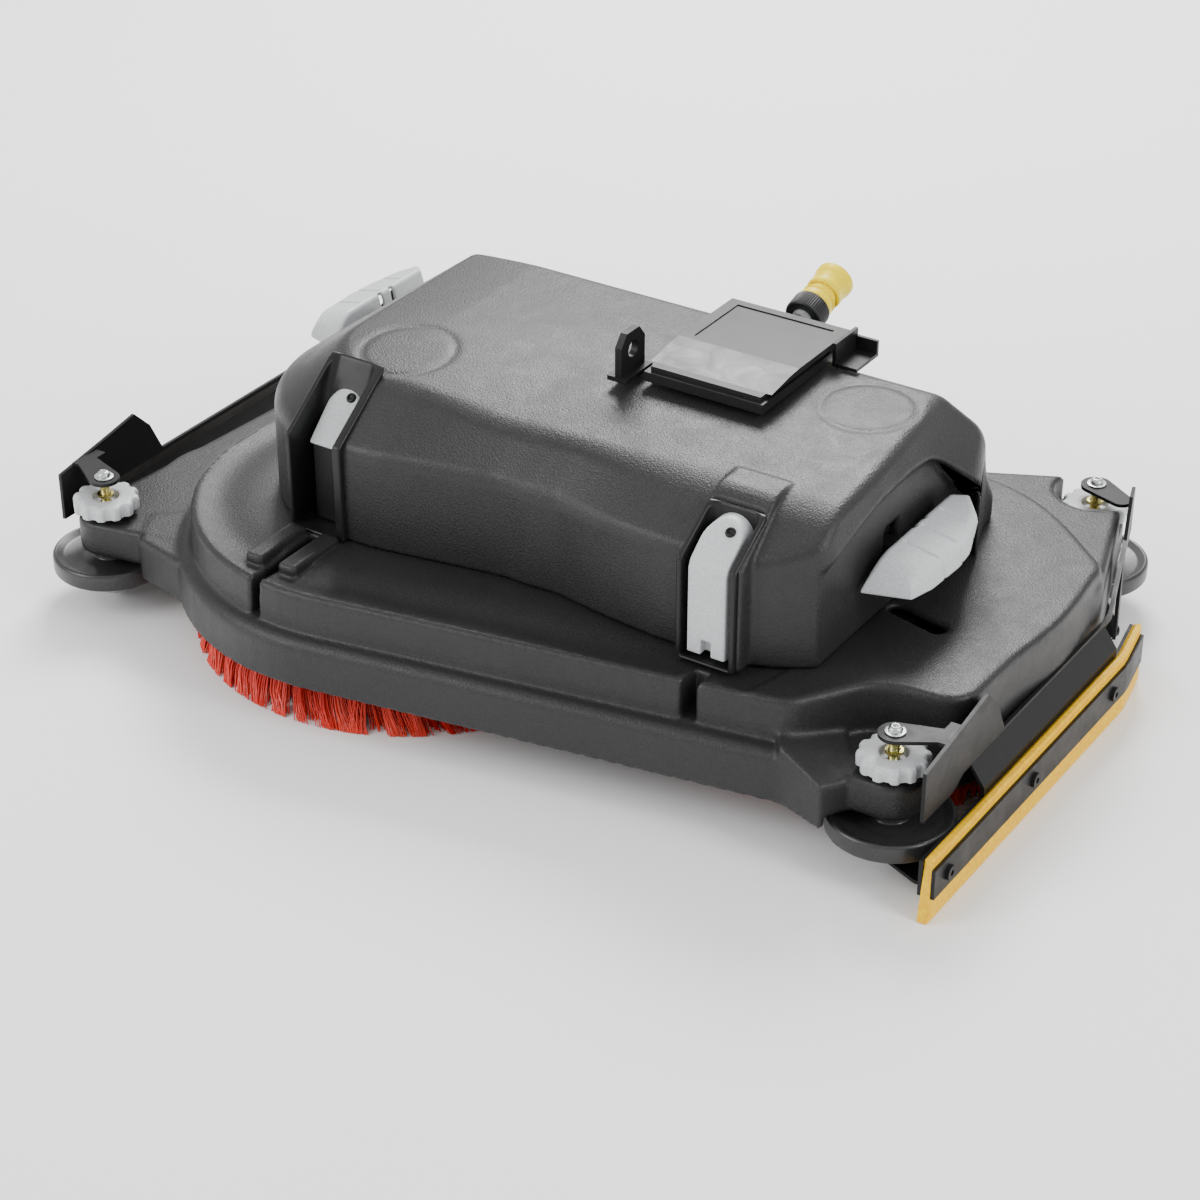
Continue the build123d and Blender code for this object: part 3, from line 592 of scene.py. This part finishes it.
# ---------------------------------------------------------------- deck
def arms(f):
    """Plan of the low flange, whose arms reach out to the four spindles."""
    x, y, r = f.x, f.y, 24
    front_left, front_right, rear_left, rear_right = ((*place, r) for place in SPINDLE.values())
    brush_right = (*BRUSH["right"], 173)
    shapes = [
        hulls(x, y, front_left, (-357, -89, r), (-250, -150, 50)),
        hulls(x, y, (-357, -89, r), rear_left, (-150, 200, 40), (-150, -80, 60)),
        hulls(x, y, front_right, (300, -160, 50), brush_right),
        hulls(x, y, rear_right, brush_right, (-150, 200, 40)),
    ]
    out = shapes[0]
    for s in shapes[1:]:
        out = rmin(out, s, 8)
    return out


SLOTS = ((-152, 4.6), (211.5, 6.5))  # centre and half width of the notches before the pockets


def make_deck():
    """Deck shell: skirt, arms, raised step with a shallow bowl, arm roots, notches and the hollow below."""
    f = Field((-404, -292, 38), (412, 268, 128), 2.5)
    x, y, z = f.x, f.y, f.z
    step_l = hulls(x, y, (*BRUSH["left"], 185), (276, -179, 24), (-270, 180, 26), (*BRUSH["right"], 171))
    step_r = hulls(x, y, (*BRUSH["right"], 171), (373, -106, 28), (375, 96, 26))
    step_plan = rmin(step_l, step_r, 14)
    skirt_plan = hulls(x, y, (*BRUSH["left"], 198), (300, -190, 26), (200, 100, 40))
    flange_plan = arms(f)
    bowl = 4.0 * np.exp(-(((-step_plan - 26) / 20) ** 2)) * (np.hypot(x + 129, y + 89) < 400)
    draft = (z - 83) * 0.05
    step = rmax(step_plan + draft, z - STEP_TOP + bowl, 5)
    skirt = rmax(skirt_plan, z - SKIRT_TOP, 11)
    flange = rmax(flange_plan, z - ARM_TOP, 5)
    rear_right = hulls(x, y, (*SPINDLE["rear_right"], 24), (262, 120, 100), (376, 96, 26))
    rear_left = hulls(x, y, (*SPINDLE["rear_left"], 24), (-262, 120, 100))
    rear = rmax(rmin(rear_right, rear_left, 4), z - REAR_TOP, 5)
    root = convex(x, y, [(262, -172), (291, -216), (334, -230), (350, -200), (300, -140)])
    root = rmax(root, z - 98 + (x - 266) * 0.27, 3)
    left_root = convex(x, y, [(-334, -185), (-316, -222), (-262, -234), (-240, -200), (-300, -150)])
    roots = np.minimum(root, rmax(left_root, z - ARM_TOP, 3))
    body = rmin(rmin(rmin(flange, roots, 2), rear, 4), step, 4)
    body = rmin(body, skirt, 3)
    for key in ("rear_left", "rear_right"):
        body = cut(body, np.maximum(f.rod(*SPINDLE[key], 34), 80 - z), 3)
    pads = np.minimum(
        f.box(-176, -160, -252, -192, 110, 126, 2),
        f.box(-144, -127, -252, -192, 110, 126, 2),
    )
    body = np.minimum(body, pads)
    hollow = np.maximum(skirt_plan + 5, z - 76)
    ends = np.minimum(
        hulls(x, y, (-350, -95, 22), (-318, 150, 30), (-200, 100, 80)),
        hulls(x, y, (*BRUSH["right"], 169), (200, 150, 60), (-150, 195, 30)),
    )
    hollow = np.minimum(hollow, np.maximum(ends, z - 75))
    hollow = rmin(hollow, np.maximum(step_plan + 8, z - 113), 3)
    for cx, half in SLOTS:
        hollow = cut(hollow, f.box(cx - half - 5, cx + half + 5, -320, -150, 60, 130, 0))
    body = cut(body, hollow, 1)
    body = np.maximum(body, DECK_FOOT - z)
    for cx, cy in SPINDLE.values():
        body = cut(body, np.maximum(f.rod(cx, cy, 53), z - 50), 2)
        body = cut(body, np.maximum(f.rod(cx, cy, 14), z - 53), 1)
        body = cut(body, f.rod(cx, cy, 7.2))
    for cx, cy in BRUSH.values():
        body = cut(body, np.maximum(f.rod(cx, cy, 30), 100 - z), 1)
    for cx, half in SLOTS:
        body = cut(body, f.box(cx - half, cx + half, -300, -192, 85.5, 130, 0), 1)
    slot = convex(x, y, hull_points([(293, -38, 7.5), (331, -47, 7.5)]))
    body = cut(body, np.maximum(slot, 100 - z), 1.5)
    f.mesh(body, "deck_shell", BLACK, "deck", ["deck_housing"], "moulded_black", 3)


# ---------------------------------------------------------------- pedals
PEDAL_OUTLINE = [(288, -95), (326, -83), (332, -60), (334, -20), (331, 5), (323, 36), (305, 58), (288, 40)]


def make_pedal(side):
    """Shallow pad: blunt rolled front, flat sloping top, outer wall, three grooves and two square holes."""
    f = Field((284, -100, 152), (340, 64, 194), 1.0)
    plan = convex(f.x, f.y, PEDAL_OUTLINE)
    flare = plan + (f.z - 160) * 0.22
    roll = np.maximum(0, -62 - f.y) ** 2 * 0.022
    top = (f.z - 189 + (f.x - 288) * 0.3 + roll) / 1.06
    under = 160 + np.maximum(0, f.y) * 0.27 - f.z
    shape = rmax(rmax(flare, top, 4.5), under, 0.8)
    shape = cut(shape, rmax(flare + 2.8, top + 2.8, 3), 0.3)
    skin = np.maximum(flare, top)
    for gy in (-46, -17, 13):
        groove = np.maximum(np.abs(f.y - gy - (f.x - 300) * 0.14) - 1.0, 299 - f.x)
        shape = cut(shape, np.maximum(groove, -skin - 1.3), 0.5)
    for gy in (-22, -6):
        shape = cut(shape, f.box(291, 296.5, gy - 2.6, gy + 2.6, 150, 194), 0.4)
    points, faces = surface(np.broadcast_to(shape, f.n).astype(np.float32), f.lo, f.step, 3)
    if side == "left":
        points = points * (-1, 1, 1) + (0, 112, 0)
        faces = faces[:, ::-1]
    piece("foot_pad_" + side, points, faces, PALE, "foot_pedal_" + side, ["pedal_" + side], "light_grey")


# ---------------------------------------------------------------- turned and lobed pieces
def make_roller(corner):
    """Deflector roller with a dished top and a small boss."""
    body = "roller_" + corner
    profile = [(7.1, 30.5), (46, 29.2), (48.8, 30.5), (49, 43), (47.6, 44.8), (46, 44.9), (40, 41.2)]
    profile += [(24, 38.8), (14, 40.5), (12, 50.5), (7.1, 50.8)]
    points, faces = lathe(rounded(profile, 1.4, 3), 128)
    piece("deflector_" + body, points + (*SPINDLE[corner], 0), faces, ROLLER, body, [body], "roller_grey", 40)


def make_thumbwheel(corner):
    """Twelve-lobed adjusting wheel."""
    body = "thumbwheel_" + corner

    def lobes(t, r, _z):
        return r if r < 20 else r * (1 + 0.055 * math.tanh(2.2 * math.cos(12 * t))) - 0.9

    profile = [(4.15, 83.2), (24, 83.2), (27, 84.6), (27.4, 93), (26.2, 95.6), (24, 96.6), (14.5, 96.4)]
    profile += [(11.2, 95.8), (10.2, 90.5), (4.15, 90.5)]
    points, faces = lathe(rounded(profile, 1.0, 3), 240, lobes)
    points = points + (*SPINDLE[corner], 0)
    piece("adjusting_wheel_" + corner, points, faces, PALE, body, [body], "light_grey", 45)


def at_spindles(side, profiles, segments):
    """The turned profiles as one mesh at a side's front and rear spindle."""
    parts = []
    for corner in ("front_" + side, "rear_" + side):
        for profile in profiles:
            points, faces = lathe(profile, segments)
            parts.append((points + (*SPINDLE[corner], 0), faces))
    return merged(parts)


def make_spindles(side):
    """Threaded rods with a head, and the small collar under it."""
    rod = [(0.01, 13), (4, 13)]
    for k in range(40):
        z = 62 + k * 1.1
        rod += [(3.55, z), (4.0, z + 0.45), (4.0, z + 0.65)]
    rod += [(3.7, 106.5), (6.6, 106.6), (6.9, 109.6), (0.01, 110)]
    collar = [(4.6, 95.6), (6.9, 95.8), (6.9, 98), (4.6, 98.2)]
    points, faces = at_spindles(side, (rod, collar), 40)
    carrier, nodes = "squeegee_carrier_" + side, ["spindles_" + side]
    piece("spindle_rods_" + side, points, faces, GOLD, carrier, nodes, "yellow_zinc", 35)


def make_screws(side):
    """Washer and domed screw on top of each spindle, and the bolt head at its foot."""
    washer = [(0.01, 113), (8, 113), (8, 114.4), (0.01, 114.4)]
    dome = [(0.01, 114.4), (5.6, 114.4), (5.6, 115.6), (4.9, 117.4), (3.2, 118.6), (2.3, 118.7)]
    dome += [(2.1, 116.6), (0.01, 116.4)]
    bolt = [(0.01, 4.0), (7.6, 4.3), (9, 5.6), (9, 9), (8.6, 10), (0.01, 10)]
    points, faces = at_spindles(side, [rounded(profile, 0.4, 2) for profile in (washer, dome, bolt)], 48)
    carrier, nodes = "squeegee_carrier_" + side, ["spindle_screws_" + side]
    piece("spindle_caps_" + side, points, faces, ZINC, carrier, nodes, "zinc", 35)


INLET = (120, 84, 256)
TILT = math.radians(15)
ALONG = (0, math.cos(TILT), math.sin(TILT))


def inlet_piece(name, profile, segments, radius, material, body, stands_for, slot_name, sharp=35):
    """Turned piece on the tilted axis of the water inlet."""
    points, faces = lathe(rounded(profile, 0.7, 3), segments, radius)
    piece(name, tilt_place(points, INLET, ALONG), faces, material, body, stands_for, slot_name, sharp)


def make_coupling():
    """Knurled nut, coupling body and its waisted pull-back sleeve."""

    def knurl(t, r, z):
        return r + (0.55 * abs(math.sin(26 * t)) - 0.45 if 25.5 < z < 39.5 and r > 15 else 0)

    nut = [(9.1, 24.1), (15.2, 24.1), (16.4, 25.4), (16.4, 39.6), (15.6, 40.8), (8.2, 40.8), (8.2, 36.2), (9.1, 36.2)]
    inlet_piece("knurled_nut", nut, 208, knurl, SATIN, "deck", ["coupling_nut"], "satin_black", 50)
    body = [(8, 41.1), (14.6, 41.1), (15, 42.2), (15, 47), (13.6, 48.2), (13.6, 49.4), (14.8, 50.6)]
    body += [(14.8, 51.6), (12.4, 52.2), (12.4, 77.6), (8, 77.6)]
    inlet_piece("coupling_core", body, 96, None, YELLOW, "deck", ["coupling_body"], "yellow_plastic")

    def ribs(t, r, z):
        if r < 14:
            return r
        waist = 0.7 * max(0.0, math.cos(3 * t)) * math.exp(-(((z - 65) / 5.5) ** 2))
        return r - waist

    sleeve = [(12.7, 57.3), (14.4, 57.3), (15.3, 58.6), (15.5, 61), (15.1, 65), (15.4, 70), (16.4, 74)]
    sleeve += [(16.7, 78.8), (16.1, 79.9), (14.2, 79.9), (13.4, 78.2), (12.7, 78)]
    moving = "coupling_sleeve"
    inlet_piece("coupling_grip", sleeve, 120, ribs, YELLOW, moving, [moving], "yellow_plastic", 60)


# ---------------------------------------------------------------- bristles
def make_bristles(side):
    """Tufts of fine filaments, splayed outwards and swept with the brush's turning."""
    rng = np.random.default_rng(11 if side == "left" else 12)
    cx, cy = BRUSH[side]
    points, faces, tones = [], [], []
    rings = [(84, 28), (98, 32), (112, 38), (126, 44), (140, 56), (151, 70), (160, 88)]
    sweep_sign = 1 if side == "left" else -1
    for ring_r, tufts in rings:
        outer = ring_r > 138
        for k in range(tufts):
            t0 = 2 * math.pi * (k + 0.5 * (ring_r % 2)) / tufts + rng.normal(0, 0.006)
            lean = 0.15 + 0.45 * max(0, ring_r - 100) / 60
            tone0 = rng.uniform(0.25, 0.8)
            twist = rng.normal(0.10, 0.035) * sweep_sign
            for _ in range(26 if outer else 9):
                a, rr = rng.uniform(0, 2 * math.pi), 3.6 * math.sqrt(rng.uniform())
                base_r, base_t = ring_r + rr * math.cos(a), t0 + rr * math.sin(a) / ring_r
                out = lean * 42 + rr * math.cos(a) * 0.9 + rng.normal(0, 1.1)
                turn = twist + rr * math.sin(a) * 0.9 / ring_r + rng.normal(0, 0.006)
                low = abs(rng.normal(0, 0.5)) + 0.05
                width = rng.uniform(0.45, 0.62)
                n0 = len(points)
                for s, z in ((0.0, 46.0), (0.35, 32.0), (0.7, 16.0), (1.0, low)):
                    r = min(base_r + out * s**1.3, 185.4)
                    t = base_t + turn * s**1.4
                    px, py = cx + r * math.cos(t), cy + r * math.sin(t)
                    for j in range(3):
                        q = t + 2.1 * j
                        points.append((px + width * math.cos(q), py + width * math.sin(q), z))
                        tones.append(min(1.0, max(0.0, tone0 + 0.25 * (s - 0.4) + rng.normal(0, 0.05))))
                for s in range(3):
                    for j in range(3):
                        a0, a1 = n0 + 3 * s + j, n0 + 3 * s + (j + 1) % 3
                        faces.append((a0, a0 + 3, a1 + 3, a1))
                faces.append((n0 + 9, n0 + 10, n0 + 11))
    points = np.array(points)
    limit = np.hypot(points[:, 0] - cx, points[:, 1] - cy)
    keep = np.minimum(1, 185.9 / np.maximum(limit, 1e-6))
    points[:, 0] = cx + (points[:, 0] - cx) * keep
    points[:, 1] = cy + (points[:, 1] - cy) * keep
    obj = piece("bristle_tufts_" + side, points, faces, RED, "brush_" + side, ["bristles_" + side], "red_bristle")
    layer = obj.data.attributes.new("tone", "FLOAT", "POINT")
    layer.data.foreach_set("value", tones)


# ---------------------------------------------------------------- squeegee
def bend(y):
    """Inward offset of a side strip, which turns in near its rear end."""
    return np.interp(y, (94, 103, 147), (0, 1, 9))


def make_lip(side):
    """Cast lip: ridged top edge, bevelled floor edge, raked front end and turned-in rear end."""
    profile = [(421.6, 0.3), (423.4, 0.0), (429.4, 0.3), (430.8, 2.0), (430.8, 13), (429, 17.5), (429, 47.6)]
    profile += [(429, 48.6), (427.4, 49.2), (427.4, 50), (429, 50.6), (429, 51.6), (427.8, 52.6)]
    profile += [(424.4, 52.6), (423.2, 51.2), (421.6, 50.2)]
    start = -142 if side == "left" else -236
    ys = [start, start + 0.8] + list(np.linspace(start + 8, 92, 26)) + list(np.linspace(94, 146, 12)) + [147]
    points, faces = [], []
    for i, y in enumerate(ys):
        q = 0.6 if i in (0, len(ys) - 1) else 0.0
        for px, pz in profile:
            rake = max(0.0, 1 - (y - start) / 40) * (pz * 0.16 - 3)
            u = px + (425.3 - px) * 0.14 * q - bend(y)
            points.append((SIGN[side] * u, y + rake, pz + (26 - pz) * 0.02 * q))
    m = len(profile)
    for i in range(len(ys) - 1):
        for j in range(m):
            a, b = i * m + j, i * m + (j + 1) % m
            faces.append((a, b, b + m, a + m))
    faces += [tuple(range(m))[::-1], tuple(range(len(points) - m, len(points)))]
    if side == "left":
        faces = [face[::-1] for face in faces]
    carrier = "squeegee_carrier_" + side
    piece("squeegee_lip_" + side, points, faces, AMBER, carrier, ["squeegee_" + side], "yellow_rubber", 30)


# ---------------------------------------------------------------- carried-over CAD nodes
def paint(node, material, bevel=0.0):
    """Gives a CAD node its material and, with a bevel in mm, softer edges."""
    obj = NODES[node]
    obj.data.materials.clear()
    obj.data.materials.append(material)
    if bevel:
        mod = obj.modifiers.new("soft_edges", "BEVEL")
        mod.width, mod.segments, mod.limit_method = bevel * MM, 2, "ANGLE"
        mod.angle_limit = math.radians(40)
        mod.harden_normals = True


def paint_all():
    """Materials of the CAD nodes that are shown as they are."""
    look = {
        "base_frame": ZINC, "top_block": SATIN, "top_plate": SATIN, "rear_bracket": PAINT, "lifting_eye": PAINT,
        "inlet_elbow": CLEAR, "water_valve": BRASS, "feed_hose": HOSE, "roller_bushes": SATIN,
        "gearbox_bolts": ZINC, "water_nozzles": SATIN, "hangers": PAINT, "pedal_brackets": ZINC,
    }
    for side in SIGN:
        look.update({
            "gearbox_" + side: ALLOY, "motor_" + side: PAINT, "water_hose_" + side: HOSE, "brush_hub_" + side: ZINC,
            "brush_disc_" + side: BACK, "carrier_" + side: PAINT, "clamp_strip_" + side: PAINT,
            "clamp_screws_" + side: PAINT, "pedal_lever_" + side: PAINT,
        })
    soft = {"top_block": 1.2, "top_plate": 0.8, "rear_bracket": 0.5, "lifting_eye": 0.7, "clamp_strip_left": 0.5,
            "clamp_strip_right": 0.5, "carrier_left": 0.5, "carrier_right": 0.5}
    for node, material in look.items():
        paint(node, material, soft.get(node, 0.0))


# ---------------------------------------------------------------- stage
def make_stage():
    """Pale floor, even world light, three soft lamps and the camera."""
    mat, tree, bsdf = nodes_of("studio_floor")
    co = object_coords(tree)
    link(tree, mixed(tree, noise(tree, co, 3), (0.95, 0.95, 0.95), (0.98, 0.98, 0.98)), bsdf.inputs["Base Color"])
    bsdf.inputs["Roughness"].default_value = 0.9
    mesh = bpy.data.meshes.new("floor")
    s = 12
    mesh.from_pydata([(-s, -s, -0.0004), (s, -s, -0.0004), (s, s, -0.0004), (-s, s, -0.0004)], [], [(0, 1, 2, 3)])
    mesh.materials.append(mat)
    floor = bpy.data.objects.new("floor", mesh)
    bpy.context.scene.collection.objects.link(floor)

    world = bpy.context.scene.world or bpy.data.worlds.new("studio")
    bpy.context.scene.world = world
    world.use_nodes = True
    back = world.node_tree.nodes["Background"]
    back.inputs["Color"].default_value = (1, 1, 1, 1)
    back.inputs["Strength"].default_value = 0.95

    def area(name, place, target, size, power, size_y=None):
        data = bpy.data.lights.new(name, "AREA")
        data.energy, data.size = power, size
        if size_y:
            data.shape, data.size_y = "RECTANGLE", size_y
        lamp = bpy.data.objects.new(name, data)
        bpy.context.scene.collection.objects.link(lamp)
        lamp.location = place
        lamp.rotation_euler = (Vector(target) - Vector(place)).to_track_quat("-Z", "Y").to_euler()

    area("key", (-0.9, 1.9, 2.2), (0, 0, 0.1), 1.3, 120, 1.0)
    area("front_left", (-1.6, -2.2, 1.7), (0, 0, 0.1), 1.6, 52)
    area("right_strip", (2.4, -0.2, 1.6), (0.2, 0, 0.1), 0.8, 40, 1.8)

    data = bpy.data.cameras.new("camera")
    data.lens, data.sensor_width = CAMERA_LENS, 36
    data.clip_start, data.clip_end = 0.05, 50
    cam = bpy.data.objects.new("camera", data)
    bpy.context.scene.collection.objects.link(cam)
    cam.location = CAMERA_PLACE
    aim = Vector(CAMERA_AIM) - Vector(cam.location)
    cam.rotation_euler = aim.to_track_quat("-Z", "Y").to_euler()
    bpy.context.scene.camera = cam


make_stage()
paint_all()
make_hood()
make_deck()
make_coupling()
make_cover_screws()
for side in SIGN:
    make_liner(side)
    make_cover(side)
    make_pedal(side)
    make_spindles(side)
    make_screws(side)
    make_bristles(side)
    make_lip(side)
for corner in SPINDLE:
    make_roller(corner)
    make_thumbwheel(corner)
